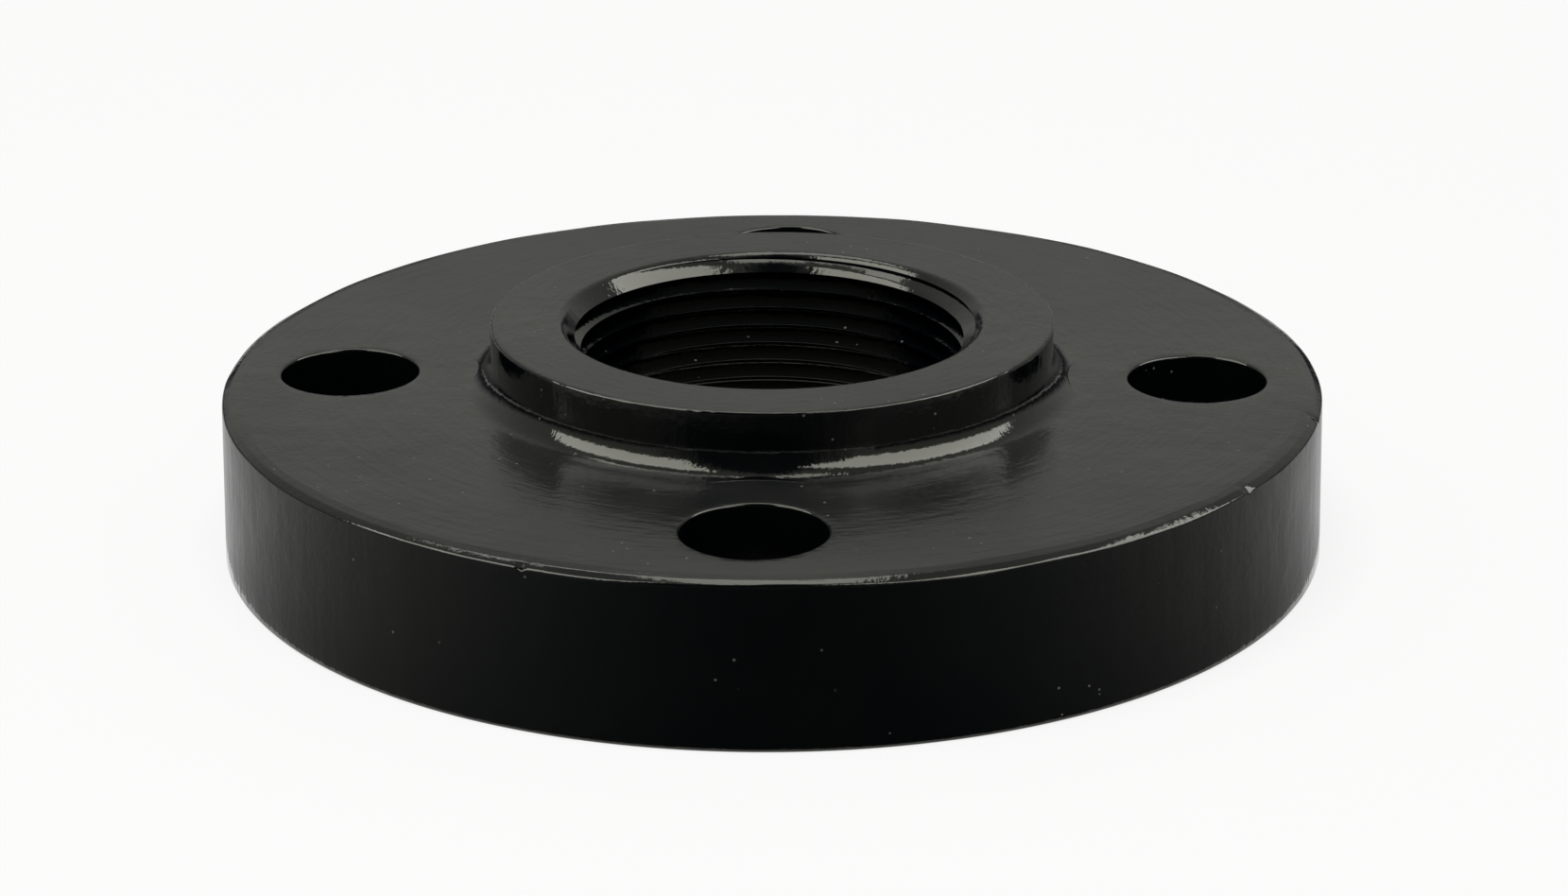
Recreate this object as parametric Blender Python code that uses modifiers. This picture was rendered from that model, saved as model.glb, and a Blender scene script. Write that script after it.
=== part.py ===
"""Threaded pipe flange with a hub, for 1-1/2 inch pipe, in metres with +Z up.

The real part is one steel forging that is turned, drilled, threaded and painted.
The origin is the centre of the gasket face, on which the flange rests.
+Z runs along the bore, from the gasket face to the face of the hub.
"""
import math

import bmesh
import bpy

INCH = 0.0254
MILLIMETRE = 0.001

# Plate, with the draft of the forging on its rim
RIM_TOP_DIAMETER = 5.0 * INCH
RIM_BASE_DIAMETER = (5.0 + 1.0 / 32.0) * INCH
PLATE_THICKNESS = 3.0 / 4.0 * INCH
RIM_BEVEL_WIDTH = 5.0 / 64.0 * INCH
RIM_BEVEL_HEIGHT = 1.0 / 32.0 * INCH
RIM_BASE_ROUND = 1.0 / 64.0 * INCH

# Hub
HUB_DIAMETER = (2.0 + 9.0 / 16.0) * INCH
OVERALL_HEIGHT = (1.0 + 1.0 / 32.0) * INCH
HUB_ROOT_FILLET = 1.0 / 8.0 * INCH
HUB_EDGE_ROUND = 0.3 * MILLIMETRE

# Bore: a right-handed taper pipe thread, cut from the hub's face down
THREAD_PITCH = 1.0 / 11.5 * INCH
THREAD_DEPTH = 0.8 * THREAD_PITCH
PITCH_DIAMETER_AT_HUB = 1.82234 * INCH
TAPER_ON_DIAMETER = 1.0 / 16.0
FIRST_CREST_DEPTH = 2.3 * MILLIMETRE
MOUTH_DIAMETER = 48.8 * MILLIMETRE
MOUTH_EDGE_ROUND = 1.3 * MILLIMETRE
HEEL_CHAMFER = 1.0 * MILLIMETRE
BEVEL_SLOPE = math.radians(45.0)

# Bolt holes
BOLT_HOLES = 4
BOLT_CIRCLE_DIAMETER = (3.0 + 7.0 / 8.0) * INCH
BOLT_HOLE_DIAMETER = 5.0 / 8.0 * INCH
BOLT_HOLE_EDGE_BREAK = 0.3 * MILLIMETRE

# Cutters and facets
CUTTER_OVERHANG = 3.0 * MILLIMETRE
TURNED_STEPS = 96
THREAD_STEPS = 60
BOLT_HOLE_STEPS = 48
MERGE_DISTANCE = 0.00001
SHARP_EDGE_ANGLE = math.radians(25.0)

# Paint
PAINT_COLOUR = (0.018, 0.018, 0.018, 1.0)
PAINT_ROUGHNESS = 0.35


def clear_scene():
    """Removes every object of the scene."""
    for thing in list(bpy.data.objects):
        bpy.data.objects.remove(thing, do_unlink=True)


def new_collection(name):
    """Adds a collection to the scene."""
    collection = bpy.data.collections.new(name)
    bpy.context.scene.collection.children.link(collection)
    return collection


def black_paint():
    """Semi-gloss black paint, which covers the whole forging."""
    material = bpy.data.materials.new("black_paint")
    material.use_nodes = True
    shader = material.node_tree.nodes["Principled BSDF"]
    shader.inputs["Base Color"].default_value = PAINT_COLOUR
    shader.inputs["Roughness"].default_value = PAINT_ROUGHNESS
    shader.inputs["Metallic"].default_value = 0.0
    return material


def arc(centre, radius, start, end, steps):
    """Points of a round stretch of a profile, as (radius, height), with its angles in degrees."""
    points = []
    for i in range(steps + 1):
        angle = math.radians(start + (end - start) * i / steps)
        points.append((centre[0] + radius * math.cos(angle), centre[1] + radius * math.sin(angle)))
    return points


def crest_radius(height):
    """Radius of the thread's crests at a height above the gasket face."""
    at_hub = (PITCH_DIAMETER_AT_HUB - THREAD_DEPTH) / 2.0
    return at_hub - (OVERALL_HEIGHT - height) * TAPER_ON_DIAMETER / 2.0


def blank_profile():
    """Half section of the forging before it is bored, from the axis over the hub and the rim."""
    hub = HUB_DIAMETER / 2.0
    top = OVERALL_HEIGHT
    plate = PLATE_THICKNESS
    rim = RIM_TOP_DIAMETER / 2.0
    base = RIM_BASE_DIAMETER / 2.0

    points = [(0.0, top)]
    points += arc((hub - HUB_EDGE_ROUND, top - HUB_EDGE_ROUND), HUB_EDGE_ROUND, 90, 0, 3)
    points += arc((hub + HUB_ROOT_FILLET, plate + HUB_ROOT_FILLET), HUB_ROOT_FILLET, 180, 270, 8)
    points.append((rim - RIM_BEVEL_WIDTH, plate))
    points.append((rim, plate - RIM_BEVEL_HEIGHT))
    points += arc((base - RIM_BASE_ROUND, RIM_BASE_ROUND), RIM_BASE_ROUND, 0, -90, 2)
    points.append((0.0, 0.0))
    return points


def bolt_hole_profile():
    """Half section of a bolt hole's cutter, with a small flare where it leaves each face."""
    hole = BOLT_HOLE_DIAMETER / 2.0
    flare = BOLT_HOLE_EDGE_BREAK
    top = PLATE_THICKNESS
    return [
        (0.0, top + CUTTER_OVERHANG),
        (hole + flare + CUTTER_OVERHANG, top + CUTTER_OVERHANG),
        (hole, top - flare),
        (hole, flare),
        (hole + flare + CUTTER_OVERHANG, -CUTTER_OVERHANG),
        (0.0, -CUTTER_OVERHANG),
    ]


def mouth_profile():
    """Half section of the cone that bevels the mouth of the bore.

    Its edge at the hub's face is softened, here by a band of half the slope.
    """
    mouth = MOUTH_DIAMETER / 2.0
    top = OVERALL_HEIGHT
    steep = math.tan(BEVEL_SLOPE)
    gentle = math.tan(BEVEL_SLOPE / 2.0)
    edge = mouth + MOUTH_EDGE_ROUND * gentle
    drop = MOUTH_EDGE_ROUND * (1.0 - math.cos(BEVEL_SLOPE))
    return [
        (0.0, top + CUTTER_OVERHANG),
        (edge + CUTTER_OVERHANG / gentle, top + CUTTER_OVERHANG),
        (mouth - drop / steep, top - drop),
        (0.0, top - mouth * steep),
    ]


def heel_profile():
    """Half section of the cone that bevels the bore at the gasket face."""
    heel = crest_radius(0.0) + HEEL_CHAMFER
    steep = math.tan(BEVEL_SLOPE)
    return [
        (0.0, heel * steep),
        (heel + CUTTER_OVERHANG / steep, -CUTTER_OVERHANG),
        (0.0, -CUTTER_OVERHANG),
    ]


def turned_object(name, profile, steps, collection):
    """Makes an object from a half section that a Screw modifier turns about the Z axis."""
    mesh = bpy.data.meshes.new(name)
    vertices = [(radius, 0.0, height) for radius, height in profile]
    mesh.from_pydata(vertices, [(i, i + 1) for i in range(len(profile) - 1)], [])
    piece = bpy.data.objects.new(name, mesh)
    collection.objects.link(piece)
    screw = piece.modifiers.new("turn", "SCREW")
    screw.axis = "Z"
    screw.angle = math.tau
    screw.steps = steps
    screw.render_steps = steps
    screw.use_merge_vertices = True
    screw.merge_threshold = MERGE_DISTANCE
    return piece


def settle(piece):
    """Turns the modifiers of a piece into its mesh."""
    graph = bpy.context.evaluated_depsgraph_get()
    mesh = bpy.data.meshes.new_from_object(piece.evaluated_get(graph))
    piece.modifiers.clear()
    piece.data = mesh


def thread_cutter(collection):
    """Makes the space that the pipe's thread fills: a tapered screw that runs past both faces.

    One V of the thread is wound upwards without taper, from the first crest's line on the X axis
    some turns further down. Its corners are then drawn in to the taper, and the ragged ends are
    cut off level and closed.
    """
    turns_down = math.ceil((OVERALL_HEIGHT + CUTTER_OVERHANG) / THREAD_PITCH) + 1
    turns_up = math.ceil((FIRST_CREST_DEPTH + CUTTER_OVERHANG) / THREAD_PITCH)
    crest = OVERALL_HEIGHT - FIRST_CREST_DEPTH - turns_down * THREAD_PITCH
    straight = crest_radius(0.0)
    section = [
        (straight, crest + THREAD_PITCH),
        (straight + THREAD_DEPTH, crest + THREAD_PITCH / 2.0),
        (straight, crest),
    ]
    cutter = turned_object("thread_cutter", section, THREAD_STEPS, collection)
    cutter.modifiers["turn"].screw_offset = THREAD_PITCH
    cutter.modifiers["turn"].iterations = turns_down + turns_up
    settle(cutter)

    shaping = bmesh.new()
    shaping.from_mesh(cutter.data)
    bmesh.ops.remove_doubles(shaping, verts=shaping.verts, dist=MERGE_DISTANCE)
    for corner in shaping.verts:
        radius = corner.co.xy.length
        corner.co.xy *= (radius + crest_radius(corner.co.z) - straight) / radius
    for height, outwards in ((OVERALL_HEIGHT + CUTTER_OVERHANG, 1.0), (-CUTTER_OVERHANG, -1.0)):
        everything = shaping.verts[:] + shaping.edges[:] + shaping.faces[:]
        bmesh.ops.bisect_plane(shaping, geom=everything, plane_co=(0.0, 0.0, height),
                               plane_no=(0.0, 0.0, outwards), clear_outer=True)
    bmesh.ops.holes_fill(shaping, edges=[edge for edge in shaping.edges if edge.is_boundary])
    bmesh.ops.recalc_face_normals(shaping, faces=shaping.faces)
    shaping.to_mesh(cutter.data)
    shaping.free()
    return cutter


def bore_cutter(collection):
    """Makes the cutter of the whole bore: the thread's space, joined by the bevels at its ends.

    The bevels are turned by half a facet, so that their edges miss those of the thread.
    """
    bore = thread_cutter(collection)
    for name, profile in (("mouth_cutter", mouth_profile()), ("heel_cutter", heel_profile())):
        bevel = turned_object(name, profile, THREAD_STEPS, collection)
        bevel.rotation_euler.z = math.tau / THREAD_STEPS / 2.0
        combine(bore, bevel, "UNION")
    return bore


def bolt_hole_cutters(collection):
    """Makes a cutter for each bolt hole, evenly round the bolt circle, the first on the X axis."""
    cutters = []
    for i in range(BOLT_HOLES):
        angle = math.tau * i / BOLT_HOLES
        name = "bolt_hole_cutter_%d" % (i + 1)
        cutter = turned_object(name, bolt_hole_profile(), BOLT_HOLE_STEPS, collection)
        cutter.location.x = BOLT_CIRCLE_DIAMETER / 2.0 * math.cos(angle)
        cutter.location.y = BOLT_CIRCLE_DIAMETER / 2.0 * math.sin(angle)
        cutters.append(cutter)
    return cutters


def combine(piece, cutter, operation):
    """Joins a cutter to a piece, or takes its shape out of it."""
    cutter.hide_render = True
    cutter.display_type = "WIRE"
    boolean = piece.modifiers.new(cutter.name, "BOOLEAN")
    boolean.operation = operation
    boolean.solver = "EXACT"
    boolean.object = cutter


def make_flange(collection, cutters):
    """The forging: a round plate with a short hub, a threaded bore and four bolt holes."""
    flange = turned_object("threaded_flange", blank_profile(), TURNED_STEPS, collection)
    combine(flange, bore_cutter(cutters), "DIFFERENCE")
    for cutter in bolt_hole_cutters(cutters):
        combine(flange, cutter, "DIFFERENCE")
    settle(flange)
    flange.data.shade_smooth()
    flange.data.set_sharp_from_angle(angle=SHARP_EDGE_ANGLE)
    flange.data.materials.clear()
    flange.data.materials.append(black_paint())
    return flange


def main():
    clear_scene()
    parts = new_collection("threaded_pipe_flange")
    cutters = new_collection("cutters")
    make_flange(parts, cutters)


main()
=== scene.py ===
import cmath
import math

import bmesh
import bpy
import numpy as np
from mathutils import Matrix, Vector, noise
from mathutils.geometry import delaunay_2d_cdt


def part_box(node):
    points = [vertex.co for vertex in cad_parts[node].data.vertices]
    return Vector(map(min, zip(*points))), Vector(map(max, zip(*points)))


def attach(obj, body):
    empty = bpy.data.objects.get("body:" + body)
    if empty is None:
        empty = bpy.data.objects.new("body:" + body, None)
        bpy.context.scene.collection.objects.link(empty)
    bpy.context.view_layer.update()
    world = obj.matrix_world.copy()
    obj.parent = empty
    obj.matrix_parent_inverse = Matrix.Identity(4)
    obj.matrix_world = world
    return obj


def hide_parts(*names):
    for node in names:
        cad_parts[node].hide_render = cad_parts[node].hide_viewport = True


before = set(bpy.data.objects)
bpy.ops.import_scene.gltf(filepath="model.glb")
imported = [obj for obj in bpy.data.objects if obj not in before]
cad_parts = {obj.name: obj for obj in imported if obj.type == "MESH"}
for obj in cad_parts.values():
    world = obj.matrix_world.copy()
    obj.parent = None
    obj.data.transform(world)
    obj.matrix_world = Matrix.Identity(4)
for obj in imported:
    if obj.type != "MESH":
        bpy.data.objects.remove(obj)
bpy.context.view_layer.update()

node_low, node_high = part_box("threaded_flange")

MILLIMETRE = 0.001
INCH = 0.0254
FULL_TURN = 2.0 * math.pi

# Flange, the sizes of the CAD model
RIM_BASE_RADIUS = (node_high[0] - node_low[0]) / 2.0
RIM_DRAFT = 1.0 / 64.0 * INCH
RIM_TOP_RADIUS = RIM_BASE_RADIUS - RIM_DRAFT
OVERALL_HEIGHT = node_high[2] - node_low[2]
PLATE_THICKNESS = 3.0 / 4.0 * INCH
RIM_BEVEL_WIDTH = 5.0 / 64.0 * INCH
RIM_BEVEL_HEIGHT = 1.0 / 32.0 * INCH
RIM_BEVEL_ROUND = 0.4 * MILLIMETRE
RIM_BEVEL_BEND = (0.45, 0.27)
RIM_BASE_ROUND = 1.0 / 64.0 * INCH
HUB_RADIUS = (2.0 + 9.0 / 16.0) * INCH / 2.0
HUB_ROOT_FILLET = 1.0 / 8.0 * INCH
HUB_EDGE_ROUND = 0.3 * MILLIMETRE
BOLT_HOLES = 4
BOLT_CIRCLE_RADIUS = (3.0 + 7.0 / 8.0) * INCH / 2.0
BOLT_HOLE_RADIUS = 5.0 / 8.0 * INCH / 2.0
BOLT_HOLE_EDGE_BREAK = 0.3 * MILLIMETRE

# Spot faces: the flush seats of the bolt heads, which shave the foot of the hub's root fillet
SPOT_FACE_RADIUS = (1.0 + 3.0 / 16.0) * INCH / 2.0
SPOT_FACE_NOSE = 0.35 * MILLIMETRE

# Thread: 1-1/2 inch taper pipe thread, 11.5 turns to the inch, cut from the hub face down
THREAD_PITCH = 1.0 / 11.5 * INCH
THREAD_DEPTH = 0.8 * THREAD_PITCH
THREAD_FLAT = 0.038 * THREAD_PITCH
THREAD_FLANK = math.tan(math.radians(60.0))
PITCH_RADIUS_AT_HUB = 1.82234 * INCH / 2.0
CREST_RADIUS_AT_HUB = PITCH_RADIUS_AT_HUB - THREAD_DEPTH / 2.0
RADIUS_TAPER = 1.0 / 32.0
FIRST_CREST_DEPTH = 2.3 * MILLIMETRE
BEVEL_SLOPE = math.radians(45.0)
MOUTH_RADIUS = 48.8 * MILLIMETRE / 2.0
MOUTH_ROUND = 1.3 * MILLIMETRE
MOUTH_TANGENT_DEPTH = MOUTH_ROUND * (1.0 - math.cos(BEVEL_SLOPE))
HEEL_CHAMFER = 1.0 * MILLIMETRE
HEEL_ROUND = 0.1 * MILLIMETRE

# Unevenness of the turned and painted edges
EDGE_ROUND_SPREAD = 0.7
BEVEL_WIDTH_SPREAD = 0.3 * MILLIMETRE
BEVEL_HEIGHT_SPREAD = 0.2 * MILLIMETRE
BEVEL_WEAR = 0.22 * MILLIMETRE
WORN_FRONT_DROP = 0.12 * MILLIMETRE
WORN_FRONT_SPREAD = math.radians(9.0)
RIM_NICKS = (-24.2, 54.6, 76.9)
NICK_DEPTH = 0.4 * MILLIMETRE
NICK_SPREAD = math.radians(0.4)
RIM_WAVE = 0.02 * MILLIMETRE

# Camera, fitted to the photograph: lengths in metres, angles in degrees
PICTURE_WIDTH = 1659
FOCAL_PIXELS = 4587.75
SENSOR_WIDTH = 36.0
CAMERA_ELEVATION = 20.48
CAMERA_ROLL = -0.253
CAMERA_TURN = 2.152
CAMERA_DISTANCE = 510.342 * MILLIMETRE
CAMERA_SHIFT_RIGHT = 1.30 * MILLIMETRE
CAMERA_SHIFT_UP = 9.395 * MILLIMETRE

# Mesh
COLUMNS = 720
BORE_COLUMNS = 360
HOLE_COLUMNS = 96
HUB_EDGE_STEPS = 4
FILLET_STEPS = 13
NOSE_STEPS = 5
MOUTH_STEPS = 8
RIM_ROWS = 6
FLANK_ROW = 0.45
CREST_REACH = 2.2
HOLE_CLEARANCE = 0.6 * MILLIMETRE
FACE_RING_STEP = 1.1 * MILLIMETRE
FACE_MARGIN = 0.8 * MILLIMETRE
MERGE_DISTANCE = 1e-6
SHARP_EDGE_ANGLE = math.radians(32.0)


class Shell:
    """The corners and faces of one closed surface, gathered ring by ring."""

    def __init__(self):
        self.corners = []
        self.faces = []

    def ring(self, points):
        """Adds a closed ring of corners and gives their numbers."""
        first = len(self.corners)
        self.corners.extend(tuple(point) for point in points)
        return list(range(first, len(self.corners)))

    def band(self, start, end):
        """Joins two rings of one count, start being the inner or upper one."""
        count = len(start)
        for k in range(count):
            following = (k + 1) % count
            self.faces.append((start[k], end[k], end[following], start[following]))

    def widening_band(self, start, end):
        """Joins a ring to one that has twice as many corners."""
        count = len(start)
        for k in range(count):
            following = (k + 1) % count
            middle = 2 * k + 1
            last = (2 * k + 2) % len(end)
            self.faces.append((start[k], end[2 * k], end[middle]))
            self.faces.append((start[k], end[middle], start[following]))
            self.faces.append((start[following], end[middle], end[last]))

    def bands(self, rings):
        """Joins each ring to the next."""
        for start, end in zip(rings, rings[1:]):
            self.band(start, end)


def turned_ring(radius, height, columns):
    """The points of a ring round the bore's axis; radius and height may vary from column to column."""
    angles = np.arange(columns) * FULL_TURN / columns
    heights = np.broadcast_to(height, (columns,))
    return np.column_stack((radius * np.cos(angles), radius * np.sin(angles), heights))


def wander(angle, pace, seed):
    """A smooth uneven value between about -1 and 1 that closes on itself round the flange."""
    return noise.noise(Vector((pace * math.cos(angle), pace * math.sin(angle), seed)))


def arc(centre_radius, centre_height, radius, start, end, steps):
    """Points of a profile along an arc, from one angle in degrees to another."""
    points = []
    for k in range(steps + 1):
        angle = math.radians(start + (end - start) * k / steps)
        points.append((centre_radius + radius * math.cos(angle), centre_height + radius * math.sin(angle)))
    return points


def rounded_profile(corners):
    """A profile through corners given as (radius, height, rounding, steps).

    A corner with steps gets an arc of that many steps, and one with none stays sharp.
    """
    points = []
    for k, (radius, height, rounding, steps) in enumerate(corners):
        if steps == 0:
            points.append((radius, height))
            continue
        corner = complex(radius, height)
        before = complex(*corners[k - 1][:2]) - corner
        after = complex(*corners[k + 1][:2]) - corner
        before /= abs(before)
        after /= abs(after)
        half_angle = abs(cmath.phase(after / before)) / 2.0
        bisector = (before + after) / abs(before + after)
        middle = corner + bisector * rounding / math.sin(half_angle)
        start = corner + before * rounding / math.tan(half_angle) - middle
        end = corner + after * rounding / math.tan(half_angle) - middle
        turn = cmath.phase(end / start)
        for step in range(steps + 1):
            point = middle + start * cmath.rect(1.0, turn * step / steps)
            points.append((point.real, point.imag))
    return points


def profile_rings(shell, profile_at):
    """Rings through a profile that may change a little from one column to the next."""
    profiles = np.array([profile_at(FULL_TURN * k / COLUMNS) for k in range(COLUMNS)])
    rings = []
    for row in range(profiles.shape[1]):
        rings.append(shell.ring(turned_ring(profiles[:, row, 0], profiles[:, row, 1], COLUMNS)))
    shell.bands(rings)
    return rings


def bolt_centres():
    """The middles of the bolt holes, in the plane of the plate."""
    centres = []
    for k in range(BOLT_HOLES):
        angle = FULL_TURN * k / BOLT_HOLES
        centres.append((BOLT_CIRCLE_RADIUS * math.cos(angle), BOLT_CIRCLE_RADIUS * math.sin(angle)))
    return centres


def spot_face_reach(angle):
    """How far from the bore's axis the nearest spot face begins, in one direction."""
    spacing = FULL_TURN / BOLT_HOLES
    from_hole = (angle + spacing / 2.0) % spacing - spacing / 2.0
    aside = BOLT_CIRCLE_RADIUS * math.sin(from_hole)
    if abs(aside) >= SPOT_FACE_RADIUS:
        return BOLT_CIRCLE_RADIUS
    return BOLT_CIRCLE_RADIUS * math.cos(from_hole) - math.sqrt(SPOT_FACE_RADIUS ** 2 - aside ** 2)


def hub_profile(angle):
    """Radius and height from the hub's face, over its edge and down its root fillet to the plate.

    Where a spot face shaves the fillet, it ends in a small wall with the tool's nose at its foot.
    """
    edge_round = HUB_EDGE_ROUND * (1.0 + EDGE_ROUND_SPREAD * wander(angle, pace=2.6, seed=4.0))
    edge_round *= 1.0 + EDGE_ROUND_SPREAD / 2.0 * wander(angle, pace=30.0, seed=5.0)
    top = rounded_profile([
        (HUB_RADIUS - FACE_MARGIN, OVERALL_HEIGHT, 0.0, 0),
        (HUB_RADIUS, OVERALL_HEIGHT, edge_round, HUB_EDGE_STEPS),
        (HUB_RADIUS, PLATE_THICKNESS, 0.0, 0)])[:-1]
    foot = HUB_RADIUS + HUB_ROOT_FILLET
    reach = min(spot_face_reach(angle), foot)
    left_out = math.degrees(math.asin((foot - reach) / HUB_ROOT_FILLET))
    middle_height = PLATE_THICKNESS + HUB_ROOT_FILLET
    fillet = arc(foot, middle_height, HUB_ROOT_FILLET, 180.0, 270.0 - left_out, FILLET_STEPS)
    nose = min(SPOT_FACE_NOSE, fillet[-1][1] - PLATE_THICKNESS)
    seat = arc(reach + nose, PLATE_THICKNESS + nose, nose, 180.0, 270.0, NOSE_STEPS)
    return top + fillet + seat + [(foot + FACE_MARGIN, PLATE_THICKNESS)]


def rim_profile(angle):
    """Radius and height from the plate's top, over the rim's bevel and round to the gasket face.

    The bevel is bent near its middle, softly rounded, shallower where it is worn, at the front, and
    deeper at a few nicks, which are placed by their angle to the right of the front.
    """
    width = RIM_BEVEL_WIDTH + BEVEL_WIDTH_SPREAD * wander(angle, pace=4.0, seed=1.0)
    drop = RIM_BEVEL_HEIGHT - BEVEL_WEAR + BEVEL_HEIGHT_SPREAD * wander(angle, pace=6.0, seed=2.0)
    from_front = (angle - math.radians(CAMERA_TURN) + math.pi / 2.0 + math.pi) % FULL_TURN - math.pi
    drop -= WORN_FRONT_DROP * math.exp(-(from_front / WORN_FRONT_SPREAD) ** 2)
    for nick in RIM_NICKS:
        drop += NICK_DEPTH * math.exp(-((from_front - math.radians(nick)) / NICK_SPREAD) ** 2)
    rounding = RIM_BEVEL_ROUND * (1.0 + EDGE_ROUND_SPREAD * wander(angle, pace=12.0, seed=3.0))
    bend_width = width * RIM_BEVEL_BEND[0]
    bend_drop = drop * RIM_BEVEL_BEND[1]
    corners = [
        (RIM_TOP_RADIUS - 2.0 * RIM_BEVEL_WIDTH, PLATE_THICKNESS, 0.0, 0),
        (RIM_TOP_RADIUS - width, PLATE_THICKNESS, 2.0 * rounding, 3),
        (RIM_TOP_RADIUS - bend_width, PLATE_THICKNESS - bend_drop, 2.0 * rounding, 4),
        (RIM_TOP_RADIUS, PLATE_THICKNESS - drop, rounding, 5)]
    for row in range(1, RIM_ROWS):
        height = (PLATE_THICKNESS - RIM_BEVEL_HEIGHT) * (1.0 - row / RIM_ROWS)
        radius = RIM_BASE_RADIUS - RIM_DRAFT * height / PLATE_THICKNESS
        radius += RIM_WAVE * (wander(angle, pace=14.0, seed=6.0 + 0.1 * row) - 0.5)
        corners.append((radius, height, 0.0, 0))
    corners += [
        (RIM_BASE_RADIUS, 0.0, RIM_BASE_ROUND, 4),
        (RIM_BASE_RADIUS - 2.0 * FACE_MARGIN, 0.0, 0.0, 0)]
    return rounded_profile(corners)


def perforated_face(shell, inner, outer, holes, facing_up):
    """Fills the flat ring between two rings of corners, round the bolt holes."""
    loops = [inner, outer] + holes
    numbers = [number for loop in loops for number in loop]
    flat = [Vector(shell.corners[number][:2]) / MILLIMETRE for number in numbers]
    edges = []
    first = 0
    for loop in loops:
        count = len(loop)
        edges.extend((first + k, first + (k + 1) % count) for k in range(count))
        first += count
    height = shell.corners[inner[0]][2]
    inner_radius = flat[0].length
    outer_radius = flat[len(inner)].length
    clear = BOLT_HOLE_RADIUS + BOLT_HOLE_EDGE_BREAK + HOLE_CLEARANCE
    ring_count = round((outer_radius - inner_radius) * MILLIMETRE / FACE_RING_STEP)
    extra = []
    for k in range(1, ring_count):
        radius = (inner_radius + (outer_radius - inner_radius) * k / ring_count) * MILLIMETRE
        for point in turned_ring(radius, height, BORE_COLUMNS):
            if all(math.dist(point[:2], centre) > clear for centre in bolt_centres()):
                extra.append(tuple(point))
    numbers.extend(shell.ring(extra))
    flat.extend(Vector(point[:2]) / MILLIMETRE for point in extra)
    placed, _, triangles, sources, _, _ = delaunay_2d_cdt(flat, edges, [], 0, 1e-6)
    hole_radius = (BOLT_HOLE_RADIUS + BOLT_HOLE_EDGE_BREAK) / MILLIMETRE
    centres = [Vector(centre) / MILLIMETRE for centre in bolt_centres()]
    for triangle in triangles:
        middle = sum((placed[k] for k in triangle), Vector((0.0, 0.0))) / 3.0
        if middle.length < inner_radius or any((middle - centre).length < hole_radius for centre in centres):
            continue
        a, b, c = (numbers[sources[k][0]] for k in triangle)
        first_side = placed[triangle[1]] - placed[triangle[0]]
        second_side = placed[triangle[2]] - placed[triangle[0]]
        turns_left = first_side.cross(second_side) > 0.0
        shell.faces.append((a, b, c) if turns_left == facing_up else (a, c, b))


def bolt_hole_rings(shell, centre):
    """The wall of one bolt hole with its broken edges; gives its top and its bottom ring."""
    edge = BOLT_HOLE_EDGE_BREAK
    top_edge = arc(BOLT_HOLE_RADIUS + edge, PLATE_THICKNESS - edge, edge, 90.0, 180.0, 4)
    base_edge = arc(BOLT_HOLE_RADIUS + edge, edge, edge, 180.0, 270.0, 3)
    rings = []
    for radius, height in top_edge + base_edge:
        points = turned_ring(radius, height, HOLE_COLUMNS) + np.array((centre[0], centre[1], 0.0))
        rings.append(shell.ring(points[::-1]))
    shell.bands(rings)
    return rings[0], rings[-1]


def crest_depth(ridge, angles):
    """Depth of a ridge's crest below the hub's face; the right-handed helix climbs one pitch a turn."""
    return FIRST_CREST_DEPTH + THREAD_PITCH * (ridge - angles / FULL_TURN)


def crest_radius(depth):
    """Radius of the cone that touches the tips of the thread."""
    return CREST_RADIUS_AT_HUB - depth * RADIUS_TAPER


def bore_radius(depth, from_crest):
    """Radius of the bore at a depth, with its distance along the axis from the nearest crest."""
    rise = np.clip((np.abs(from_crest) - THREAD_FLAT / 2.0) * THREAD_FLANK, 0.0, THREAD_DEPTH)
    thread = crest_radius(depth) + rise
    mouth = MOUTH_RADIUS - depth
    heel = crest_radius(OVERALL_HEIGHT) + HEEL_CHAMFER - (OVERALL_HEIGHT - depth)
    return np.maximum(thread, np.maximum(mouth, heel))


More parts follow.
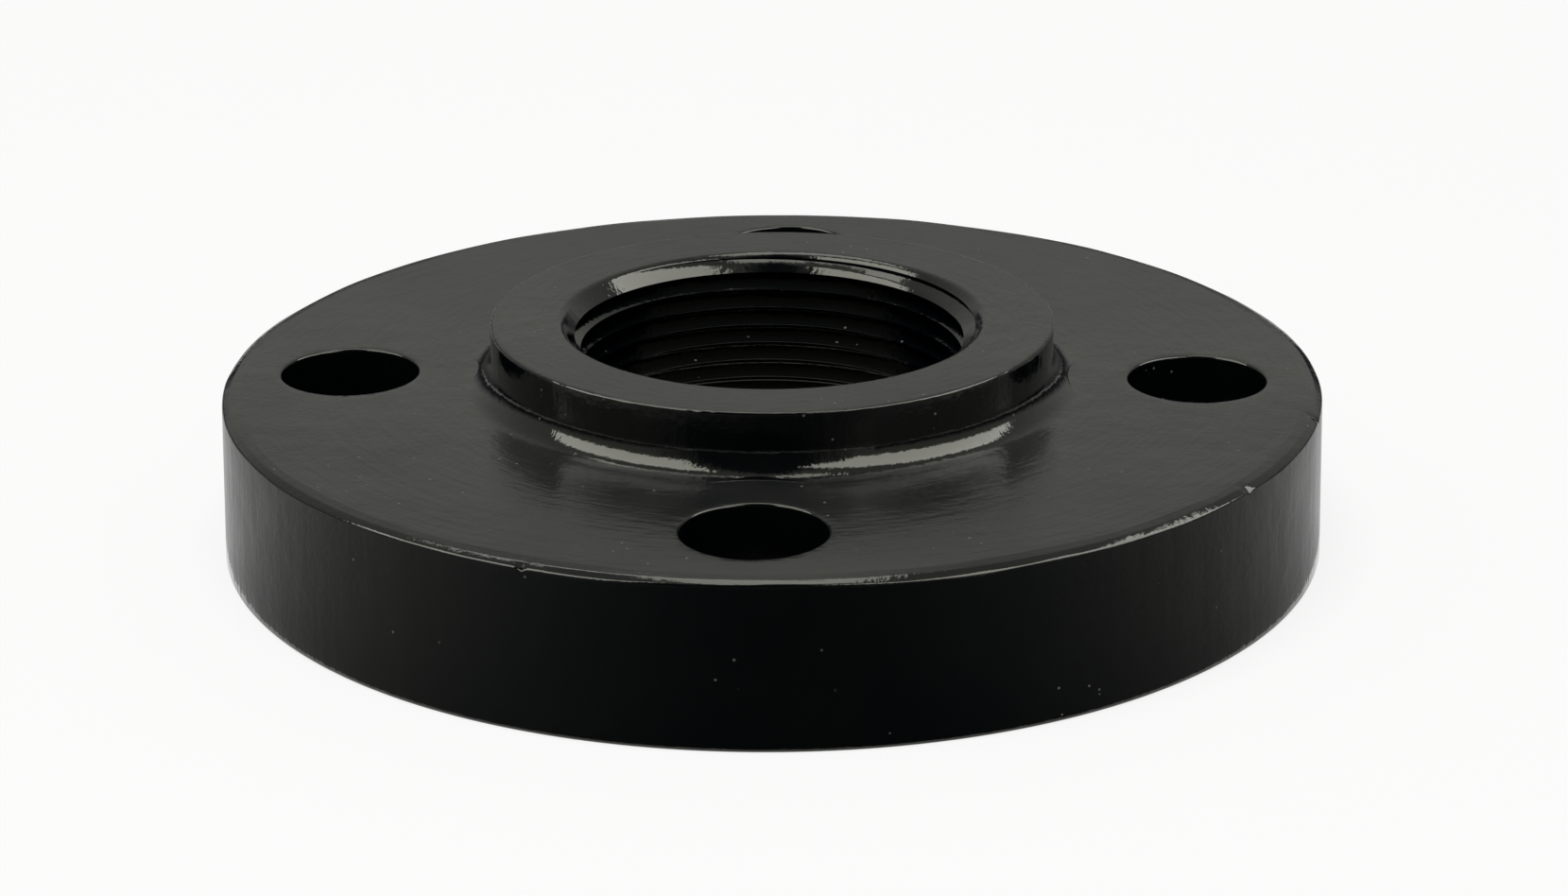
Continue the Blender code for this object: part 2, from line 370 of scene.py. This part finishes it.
def thread_rings(shell):
    """The threaded bore as rows that follow the helix, from the mouth down to the gasket face.

    Each ridge has rows on its upper flank, over its narrow crest and on its lower flank. Where the
    mouth's cone cuts the ridge off, the rows gather on the lines where cone and flank meet.
    """
    angles = np.arange(BORE_COLUMNS) * FULL_TURN / BORE_COLUMNS
    half = THREAD_PITCH / 2.0
    flat = THREAD_FLAT / 2.0
    crest = CREST_REACH * flat
    upper = [-half + flat, -FLANK_ROW * half]
    lower = [FLANK_ROW * half, half - flat]
    across = [-1.0, -0.5, 0.0, 0.5, 1.0]
    rows_per_turn = len(upper) + len(across) + len(lower)
    deepest = OVERALL_HEIGHT - HEEL_ROUND * math.sin(BEVEL_SLOPE)
    ridges = range(-2, math.ceil(OVERALL_HEIGHT / THREAD_PITCH) + 2)
    rows = []
    for ridge in ridges:
        depth = crest_depth(ridge, angles)
        tip = crest_radius(depth)
        cut_start = (tip - MOUTH_RADIUS + THREAD_FLANK * (depth - flat)) / (THREAD_FLANK - 1.0)
        cut_end = (MOUTH_RADIUS - tip + THREAD_FLANK * (depth + flat)) / (THREAD_FLANK + 1.0)
        cut_off = MOUTH_RADIUS - depth > tip
        cut_start = np.maximum(cut_start, depth - half)
        cut_end = np.minimum(cut_end, depth + half)
        for offset in upper:
            place = np.where(cut_off, np.minimum(depth + offset, cut_start), depth + offset)
            rows.append((place, place - depth))
        for share in across:
            even = cut_start + (cut_end - cut_start) * (share + 1.0) / 2.0
            place = np.where(cut_off, even, depth + share * crest)
            rows.append((place, place - depth))
        for offset in lower:
            place = np.where(cut_off, np.maximum(depth + offset, cut_end), depth + offset)
            rows.append((place, place - depth))
    rings = []
    for place, from_crest in rows:
        depth = np.clip(place, MOUTH_TANGENT_DEPTH, deepest)
        radius = bore_radius(depth, from_crest + depth - place)
        rings.append(shell.ring(turned_ring(radius, OVERALL_HEIGHT - depth, BORE_COLUMNS)))
    last = BORE_COLUMNS - 1
    for upper_row, (start, end) in enumerate(zip(rings, rings[1:])):
        for k in range(last):
            shell.faces.append((start[k + 1], end[k + 1], end[k], start[k]))
        if upper_row >= rows_per_turn:
            next_start = rings[upper_row - rows_per_turn]
            next_end = rings[upper_row + 1 - rows_per_turn]
            shell.faces.append((next_start[0], next_end[0], end[last], start[last]))


def mouth_rings(shell):
    """The soft edge between the mouth's cone and the hub's face; gives its outermost ring."""
    centre_radius = MOUTH_RADIUS + MOUTH_ROUND * math.tan(BEVEL_SLOPE / 2.0)
    edge = arc(centre_radius, OVERALL_HEIGHT - MOUTH_ROUND, MOUTH_ROUND, 135.0, 90.0, MOUTH_STEPS)
    rings = [shell.ring(turned_ring(radius, height, BORE_COLUMNS)) for radius, height in edge]
    shell.bands(rings)
    return rings[-1]


def heel_rings(shell):
    """The edge between the gasket face and the heel chamfer; gives its outermost ring."""
    heel_radius = crest_radius(OVERALL_HEIGHT) + HEEL_CHAMFER
    rise = HEEL_ROUND * math.sin(BEVEL_SLOPE)
    inner = shell.ring(turned_ring(heel_radius - rise, rise, BORE_COLUMNS))
    outer = shell.ring(turned_ring(heel_radius + rise, 0.0, BORE_COLUMNS))
    shell.band(outer, inner)
    return outer


def flange_shell():
    """The whole surface of the flange as one closed shell."""
    shell = Shell()
    thread_rings(shell)
    mouth = mouth_rings(shell)
    hub = profile_rings(shell, hub_profile)
    shell.widening_band(mouth, hub[0])
    rim = profile_rings(shell, rim_profile)
    holes = [bolt_hole_rings(shell, centre) for centre in bolt_centres()]
    heel = heel_rings(shell)
    perforated_face(shell, hub[-1], rim[0], [top for top, _ in holes], True)
    perforated_face(shell, heel, rim[-1], [base for _, base in holes], False)
    return shell


def settle(mesh):
    """Welds the seams of a mesh, makes it triangles and shades it smooth with crisp edges."""
    shaping = bmesh.new()
    shaping.from_mesh(mesh)
    bmesh.ops.remove_doubles(shaping, verts=shaping.verts, dist=MERGE_DISTANCE)
    loose = [corner for corner in shaping.verts if not corner.link_faces]
    bmesh.ops.delete(shaping, geom=loose, context="VERTS")
    bmesh.ops.triangulate(shaping, faces=shaping.faces)
    shaping.to_mesh(mesh)
    shaping.free()
    mesh.shade_smooth()
    mesh.set_sharp_from_angle(angle=SHARP_EDGE_ANGLE)


def make_flange():
    """The dressed flange, one mesh in place of the CAD node."""
    shell = flange_shell()
    mesh = bpy.data.meshes.new("painted_flange")
    mesh.from_pydata(shell.corners, [], shell.faces)
    settle(mesh)
    flange = bpy.data.objects.new("painted_flange", mesh)
    bpy.context.scene.collection.objects.link(flange)
    return flange


# Paint: colours, the finish of the gloss, the sizes of the marks, and the relief in metres
PAINT_IOR = 1.5
GLOSS_TINT = (1.0, 1.0, 0.87, 1.0)
TURNED_GRAIN = 0.9
TURNED_GRAIN_TURN = 0.25
PAINT_DARK = (0.0008, 0.0016, 0.0026, 1.0)
PAINT_LIGHT = (0.0018, 0.0024, 0.0028, 1.0)
# A painted sheen: a lighter grey that the upward faces get in blotches.
PAINTED_SHEEN_COLOUR = (0.02, 0.021, 0.02, 1.0)
DUST_COLOUR = (0.09, 0.09, 0.085, 1.0)
ROUGHNESS_SMOOTH = 0.06
ROUGHNESS_DULL = 0.08
TOP_ROUGHNESS = 0.08
RUN_ROUGHNESS = 0.06
DUST_ROUGHNESS = 0.3
STREAKS_ABOUT = 7.0
STREAKS_ACROSS = 1100.0
RUN_SCALE = (600.0, 600.0, 60.0)
BLOTCH_SCALE = 60.0
GRAIN_SCALE = 1500.0
SWELL_SCALE = 220.0
DUST_SCALE = 450.0
DUST_PATCH_SCALE = 75.0
DUST_CORE = 0.06
DUST_EDGE = 0.085
STREAK_RELIEF = 0.00006
RUN_RELIEF = 0.00004
SWELL_RELIEF = 0.00009
GRAIN_RELIEF = 0.000028


class Graph:
    """A new material's nodes, with short ways to add and join them."""

    def __init__(self, name):
        self.material = bpy.data.materials.new(name)
        self.material.use_nodes = True
        self.nodes = self.material.node_tree.nodes
        self.links = self.material.node_tree.links
        self.shader = self.nodes["Principled BSDF"]

    def feed(self, socket, value):
        """Joins an output to a socket, or sets the socket to a plain value."""
        if isinstance(value, bpy.types.NodeSocket):
            self.links.new(value, socket)
        else:
            socket.default_value = value

    def math(self, operation, *values):
        """A number worked out from others."""
        node = self.nodes.new("ShaderNodeMath")
        node.operation = operation
        for socket, value in zip(node.inputs, values):
            self.feed(socket, value)
        return node.outputs["Value"]

    def vector(self, operation, *values):
        """A vector worked out from others."""
        node = self.nodes.new("ShaderNodeVectorMath")
        node.operation = operation
        for socket, value in zip(node.inputs, values):
            self.feed(socket, value)
        return node.outputs["Vector"]

    def length(self, vector):
        """The length of a vector."""
        node = self.nodes.new("ShaderNodeVectorMath")
        node.operation = "LENGTH"
        self.links.new(vector, node.inputs[0])
        return node.outputs["Value"]

    def upright(self, value):
        """A vector along Z of a given length."""
        node = self.nodes.new("ShaderNodeCombineXYZ")
        self.links.new(value, node.inputs["Z"])
        return node.outputs["Vector"]

    def height_of(self, vector):
        """The Z of a vector."""
        node = self.nodes.new("ShaderNodeSeparateXYZ")
        self.links.new(vector, node.inputs["Vector"])
        return node.outputs["Z"]

    def noise(self, place, scale, detail):
        """Soft noise over a place."""
        node = self.nodes.new("ShaderNodeTexNoise")
        node.inputs["Scale"].default_value = scale
        node.inputs["Detail"].default_value = detail
        self.links.new(place, node.inputs["Vector"])
        return node.outputs["Fac"]

    def spots(self, place, scale):
        """Distance to the nearest of a scatter of points, in cells."""
        node = self.nodes.new("ShaderNodeTexVoronoi")
        node.inputs["Scale"].default_value = scale
        self.links.new(place, node.inputs["Vector"])
        return node.outputs["Distance"]

    def spread(self, value, low, high, to_low, to_high):
        """Maps the range low to high onto another, and holds it at the ends."""
        node = self.nodes.new("ShaderNodeMapRange")
        node.inputs["From Min"].default_value = low
        node.inputs["From Max"].default_value = high
        node.inputs["To Min"].default_value = to_low
        node.inputs["To Max"].default_value = to_high
        self.links.new(value, node.inputs["Value"])
        return node.outputs["Result"]

    def blend(self, share, first, second):
        """A colour between two others."""
        node = self.nodes.new("ShaderNodeMix")
        node.data_type = "RGBA"
        self.feed(node.inputs["Factor"], share)
        self.feed(node.inputs["A"], first)
        self.feed(node.inputs["B"], second)
        return node.outputs["Result"]

    def bump(self, height, distance, below=None):
        """A normal that follows a height, on top of another normal if one is given."""
        node = self.nodes.new("ShaderNodeBump")
        node.inputs["Distance"].default_value = distance
        self.links.new(height, node.inputs["Height"])
        if below is not None:
            self.links.new(below, node.inputs["Normal"])
        return node.outputs["Normal"]


def black_paint():
    """Black semi-gloss paint on forged and turned steel."""
    paint = Graph("black_paint")
    shader = paint.shader
    shader.inputs["IOR"].default_value = PAINT_IOR
    shader.inputs["Metallic"].default_value = 0.0
    shader.inputs["Specular Tint"].default_value = GLOSS_TINT
    shader.inputs["Anisotropic"].default_value = TURNED_GRAIN
    shader.inputs["Anisotropic Rotation"].default_value = TURNED_GRAIN_TURN
    tangent = paint.nodes.new("ShaderNodeTangent")
    tangent.direction_type = "RADIAL"
    tangent.axis = "Z"
    paint.links.new(tangent.outputs["Tangent"], shader.inputs["Tangent"])

    place = paint.nodes.new("ShaderNodeTexCoord").outputs["Object"]
    facing = paint.height_of(paint.nodes.new("ShaderNodeNewGeometry").outputs["Normal"])
    on_top = paint.spread(facing, 0.9, 0.99, 0.0, 1.0)
    on_side = paint.spread(paint.math("ABSOLUTE", facing), 0.1, 0.4, 1.0, 0.0)

    # Turning streaks about the bore, runs down the sides, blotches, and the paint's fine grain
    flat_place = paint.vector("MULTIPLY", place, (1.0, 1.0, 0.0))
    about = paint.vector("NORMALIZE", flat_place)
    about = paint.vector("MULTIPLY", about, (STREAKS_ABOUT, STREAKS_ABOUT, 0.0))
    outward = paint.math("MULTIPLY", paint.length(flat_place), STREAKS_ACROSS)
    streaks = paint.noise(paint.vector("ADD", about, paint.upright(outward)), 1.0, 3.0)
    runs = paint.noise(paint.vector("MULTIPLY", place, RUN_SCALE), 1.0, 3.0)
    blotches = paint.noise(place, BLOTCH_SCALE, 4.0)
    grain = paint.noise(place, GRAIN_SCALE, 2.0)

    # Specks of dust, in patches
    specks = paint.spread(paint.spots(place, DUST_SCALE), DUST_CORE, DUST_EDGE, 1.0, 0.0)
    patches = paint.spread(paint.noise(place, DUST_PATCH_SCALE, 1.0), 0.5, 0.56, 0.0, 1.0)
    specks = paint.math("MULTIPLY", specks, patches)

    tone = paint.blend(paint.spread(blotches, 0.35, 0.65, 0.0, 1.0), PAINT_DARK, PAINT_LIGHT)
    # Painted sheen: the upward faces get a lighter grey in blotches in place of the haze of their gloss.
    painted_sheen = paint.math("MULTIPLY", on_top, paint.spread(blotches, 0.35, 0.65, 0.15, 0.6))
    tone = paint.blend(painted_sheen, tone, PAINTED_SHEEN_COLOUR)
    paint.links.new(paint.blend(specks, tone, DUST_COLOUR), shader.inputs["Base Color"])

    roughness = paint.spread(blotches, 0.3, 0.7, ROUGHNESS_SMOOTH, ROUGHNESS_DULL)
    dull_top = paint.math("MULTIPLY", on_top, TOP_ROUGHNESS)
    dull_runs = paint.math("MULTIPLY", on_side, paint.spread(runs, 0.5, 0.8, 0.0, RUN_ROUGHNESS))
    dull_dust = paint.math("MULTIPLY", specks, DUST_ROUGHNESS)
    for dullness in (dull_top, dull_runs, dull_dust):
        roughness = paint.math("ADD", roughness, dullness)
    paint.links.new(roughness, shader.inputs["Roughness"])

    relief = paint.bump(paint.math("MULTIPLY", streaks, on_top), STREAK_RELIEF)
    relief = paint.bump(paint.math("MULTIPLY", runs, on_side), RUN_RELIEF, relief)
    relief = paint.bump(paint.noise(place, SWELL_SCALE, 2.0), SWELL_RELIEF, relief)
    relief = paint.bump(grain, GRAIN_RELIEF, relief)
    paint.links.new(relief, shader.inputs["Normal"])
    return paint.material


# Studio: the floor, the dark glowing pieces that paint shade into the gloss, and the lamps

FLOOR_SIZE = 400.0
FLOOR_GAP = 0.02 * MILLIMETRE
FLOOR_COLOUR = (0.9, 0.9, 0.9, 1.0)
FLOOR_GLOW = 0.82
CARD_HEIGHT = 0.1 * MILLIMETRE
CARD_GAP = 0.5 * MILLIMETRE
CARD_REACH = 12.0 * RIM_BASE_RADIUS
CARD_STEPS = 120
CARD_TURN = 4.0
CARD_FRONT_LEVEL = 0.02
CARD_BACK_LEVEL = 0.55
SKIRT_RADIUS = 1.5
SKIRT_FOOT = -0.02
SKIRT_HEIGHT = 0.4
SKIRT_OPENING = math.radians(40.0)
SKIRT_STEPS = 96
SKIRT_FOOT_LEVEL = 0.03
SKIRT_FADE_START = 0.4
SURROUND_COLOUR = (0.41, 0.413, 0.385, 1.0)
DARK_SIDE = (-0.12, 0.99, 0.0)
DARK_SIDE_START = 0.72
DARK_SIDE_FULL = 0.93
DARK_SIDE_LEVEL = 0.06
OVERHEAD_PLACE = (-0.14, 0.39, 1.55)
OVERHEAD_SIZE = 1.0
OVERHEAD_POWER = 17.0

# Lamps that only show in the gloss, each in directions to the right, toward the camera and up
LAMP_DISTANCE = 1.0
LEFT_SOFT_BOX = {
    "centre": (-0.711, 0.104, 0.695), "across": (0.768, 0.615, 0.18), "width": 0.931,
    "along": (0.131, -0.425, 0.896), "low": -0.24, "high": 0.6, "radiance": 4.456}
RIGHT_SOFT_BOX = {
    "centre": (0.707, 0.191, 0.681), "across": (0.356, -0.927, -0.12), "width": 1.323,
    "along": (-0.646, -0.336, 0.685), "low": -0.2, "high": 0.45, "radiance": 4.456}
TOP_PANEL = {
    "centre": (-0.006, -0.452, 0.892), "across": (0.131, -0.694, 0.708), "width": 1.029,
    "along": (-0.765, -0.525, -0.373), "low": -0.233, "high": 0.233, "radiance": 2.801}


def pale_floor():
    """A wide pale floor; the camera and the gloss see it a little lighter than it is lit."""
    bpy.ops.mesh.primitive_plane_add(size=FLOOR_SIZE, location=(0.0, 0.0, -FLOOR_GAP))
    floor = bpy.context.object
    floor.name = "floor"
    graph = Graph("pale_floor")
    graph.shader.inputs["Base Color"].default_value = FLOOR_COLOUR
    graph.shader.inputs["Roughness"].default_value = 0.9
    graph.shader.inputs["Specular IOR Level"].default_value = 0.0
    ray = graph.nodes.new("ShaderNodeLightPath").outputs
    seen = graph.math("MAXIMUM", ray["Is Camera Ray"], ray["Is Glossy Ray"])
    seen = graph.math("MAXIMUM", seen, ray["Is Transmission Ray"])
    glow = graph.nodes.new("ShaderNodeEmission")
    mixed = graph.nodes.new("ShaderNodeMixShader")
    graph.links.new(graph.math("MULTIPLY", seen, FLOOR_GLOW), mixed.inputs["Fac"])
    graph.links.new(graph.shader.outputs["BSDF"], mixed.inputs[1])
    graph.links.new(glow.outputs["Emission"], mixed.inputs[2])
    graph.links.new(mixed.outputs["Shader"], graph.nodes["Material Output"].inputs["Surface"])
    floor.data.materials.append(graph.material)


def only_in_gloss(piece):
    """Hides a piece of the studio from everything but reflections."""
    piece.visible_camera = False
    piece.visible_diffuse = False
    piece.visible_shadow = False
    piece.visible_transmission = False


def even_tone(graph, level):
    """Makes a material glow as an even tone of a given level, whatever falls on it."""
    tone = graph.nodes.new("ShaderNodeEmission")
    graph.links.new(level, tone.inputs["Strength"])
    graph.links.new(tone.outputs["Emission"], graph.nodes["Material Output"].inputs["Surface"])
    graph.nodes.remove(graph.shader)
    graph.material.cycles.emission_sampling = "NONE"


def painted_shade_card():
    """A sheet of painted shade on the floor that only shows in the gloss: it glows black before the flange
    and grey behind it, so the reflections show the floor darker than it is lit.
    """
    corners = []
    for k in range(CARD_STEPS):
        angle = FULL_TURN * k / CARD_STEPS
        for radius in (RIM_BASE_RADIUS + CARD_GAP, CARD_REACH):
            corners.append((radius * math.cos(angle), radius * math.sin(angle), 0.0))
    faces = []
    for k in range(CARD_STEPS):
        following = 2 * ((k + 1) % CARD_STEPS)
        faces.append((2 * k, 2 * k + 1, following + 1, following))
    mesh = bpy.data.meshes.new("painted_shade_card")
    mesh.from_pydata(corners, [], faces)
    card = bpy.data.objects.new("painted_shade_card", mesh)
    card.location = (0.0, 0.0, CARD_HEIGHT)
    card.rotation_euler = (0.0, 0.0, math.radians(CAMERA_TURN - 90.0 + CARD_TURN))
    only_in_gloss(card)
    bpy.context.scene.collection.objects.link(card)
    graph = Graph("painted_shade_card")
    place = graph.nodes.new("ShaderNodeTexCoord").outputs["Object"]
    apart = graph.nodes.new("ShaderNodeSeparateXYZ")
    graph.links.new(graph.vector("NORMALIZE", place), apart.inputs["Vector"])
    # Painted reflection: the sheet glows from black in front of the flange to grey behind it.
    even_tone(graph, graph.spread(apart.outputs["X"], 0.0, 1.0, CARD_BACK_LEVEL, CARD_FRONT_LEVEL))
    mesh.materials.append(graph.material)


def painted_shade_skirt():
    """A low band of painted shade round the studio's sides and back that only shows in the gloss: it glows
    dark at its foot and fades up to the surround's level at its top.
    """
    corners = []
    for k in range(SKIRT_STEPS + 1):
        from_back = (k / SKIRT_STEPS - 0.5) * (FULL_TURN - 2.0 * SKIRT_OPENING)
        right = SKIRT_RADIUS * math.sin(from_back)
        toward_camera = -SKIRT_RADIUS * math.cos(from_back)
        for height in (SKIRT_FOOT, SKIRT_HEIGHT):
            corners.append(studio_vector(right, toward_camera, height))
    faces = [(2 * k, 2 * k + 2, 2 * k + 3, 2 * k + 1) for k in range(SKIRT_STEPS)]
    mesh = bpy.data.meshes.new("painted_shade_skirt")
    mesh.from_pydata(corners, [], faces)
    skirt = bpy.data.objects.new("painted_shade_skirt", mesh)
    only_in_gloss(skirt)
    bpy.context.scene.collection.objects.link(skirt)
    graph = Graph("painted_shade_skirt")
    place = graph.nodes.new("ShaderNodeTexCoord").outputs["Object"]
    fade_start = SKIRT_FADE_START * SKIRT_HEIGHT
    top_level = SURROUND_COLOUR[0]
    level = graph.spread(graph.height_of(place), fade_start, SKIRT_HEIGHT, SKIRT_FOOT_LEVEL, top_level)
    # Painted shade in the low reflections: the band glows dark at its foot and as light as the surround at
    # its top.
    even_tone(graph, level)
    mesh.materials.append(graph.material)


def studio_vector(right, toward_camera, up):
    """A direction given by the camera's side and height, in the flange's frame."""
    return Matrix.Rotation(math.radians(CAMERA_TURN), 3, "Z") @ Vector((right, -toward_camera, up))


def soft_box(name, centre, across, width, along, low, high, radiance):
    """A rectangular lamp that only shows in the gloss.

    It is set by a middle, the directions of its sides, and how far it reaches along the second.
    """
    side = studio_vector(*across).normalized()
    rise = studio_vector(*along)
    rise = (rise - side * rise.dot(side)).normalized()
    place = studio_vector(*centre) * LAMP_DISTANCE + rise * (low + high) / 2.0
    height = high - low
    if side.cross(rise).dot(place) < 0.0:
        side = -side
    data = bpy.data.lights.new(name, "AREA")
    data.shape = "RECTANGLE"
    data.size = width
    data.size_y = height
    data.energy = math.pi * radiance * width * height
    lamp = bpy.data.objects.new(name, data)
    pose = Matrix((side, rise, side.cross(rise))).transposed().to_4x4()
    lamp.matrix_world = Matrix.Translation(place) @ pose
    lamp.visible_camera = False
    lamp.visible_diffuse = False
    bpy.context.scene.collection.objects.link(lamp)


def overhead_lamp():
    """A wide soft lamp over the flange that lights the floor and the paint but doesn't show in the gloss."""
    data = bpy.data.lights.new("overhead_lamp", "AREA")
    data.size = OVERHEAD_SIZE
    data.energy = OVERHEAD_POWER
    lamp = bpy.data.objects.new("overhead_lamp", data)
    lamp.visible_glossy = False
    lamp.location = studio_vector(*OVERHEAD_PLACE)
    lamp.rotation_euler = (-lamp.location).to_track_quat("-Z", "Y").to_euler()
    lamp.visible_camera = False
    bpy.context.scene.collection.objects.link(lamp)


def pale_surround():
    """The world: pale all round, but dark on the camera's side."""
    world = bpy.data.worlds.new("pale_surround")
    world.use_nodes = True
    bpy.context.scene.world = world
    nodes = world.node_tree.nodes
    links = world.node_tree.links
    flat = nodes.new("ShaderNodeVectorMath")
    flat.operation = "MULTIPLY"
    flat.inputs[1].default_value = (1.0, 1.0, 0.0)
    links.new(nodes.new("ShaderNodeTexCoord").outputs["Generated"], flat.inputs[0])
    even = nodes.new("ShaderNodeVectorMath")
    even.operation = "NORMALIZE"
    links.new(flat.outputs["Vector"], even.inputs[0])
    towards_front = nodes.new("ShaderNodeVectorMath")
    towards_front.operation = "DOT_PRODUCT"
    towards_front.inputs[1].default_value = studio_vector(*DARK_SIDE)
    links.new(even.outputs["Vector"], towards_front.inputs[0])
    level = nodes.new("ShaderNodeMapRange")
    level.inputs["From Min"].default_value = DARK_SIDE_START
    level.inputs["From Max"].default_value = DARK_SIDE_FULL
    level.inputs["To Min"].default_value = 1.0
    level.inputs["To Max"].default_value = DARK_SIDE_LEVEL
    links.new(towards_front.outputs["Value"], level.inputs["Value"])
    background = nodes["Background"]
    background.inputs["Color"].default_value = SURROUND_COLOUR
    links.new(level.outputs["Result"], background.inputs["Strength"])


def studio():
    """A pale surround, an overhead lamp, and the soft boxes and panel that the gloss shows."""
    pale_surround()
    overhead_lamp()
    soft_box("left_soft_box", **LEFT_SOFT_BOX)
    soft_box("right_soft_box", **RIGHT_SOFT_BOX)
    soft_box("top_panel", **TOP_PANEL)


def place_camera():
    """The camera at the photograph's angle, distance and lens."""
    elevation = math.radians(CAMERA_ELEVATION)
    roll = math.radians(CAMERA_ROLL)
    level_right = Vector((1.0, 0.0, 0.0))
    forward = Vector((0.0, math.cos(elevation), -math.sin(elevation)))
    level_down = Vector((0.0, -math.sin(elevation), -math.cos(elevation)))
    right = math.cos(roll) * level_right - math.sin(roll) * level_down
    down = math.sin(roll) * level_right + math.cos(roll) * level_down
    eye = CAMERA_SHIFT_RIGHT * right - CAMERA_SHIFT_UP * down - CAMERA_DISTANCE * forward
    pose = Matrix((right, -down, -forward)).transposed().to_4x4()
    pose.translation = eye
    data = bpy.data.cameras.new("camera")
    data.sensor_fit = "HORIZONTAL"
    data.sensor_width = SENSOR_WIDTH
    data.lens = FOCAL_PIXELS * SENSOR_WIDTH / PICTURE_WIDTH
    camera = bpy.data.objects.new("camera", data)
    camera.matrix_world = Matrix.Rotation(math.radians(CAMERA_TURN), 4, "Z") @ pose
    bpy.context.scene.collection.objects.link(camera)
    bpy.context.scene.camera = camera


place_camera()
flange = make_flange()
flange.data.materials.append(black_paint())
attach(flange, "root")
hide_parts("threaded_flange")
pale_floor()
painted_shade_card()
painted_shade_skirt()
studio()
bpy.context.scene.view_settings.view_transform = "Standard"
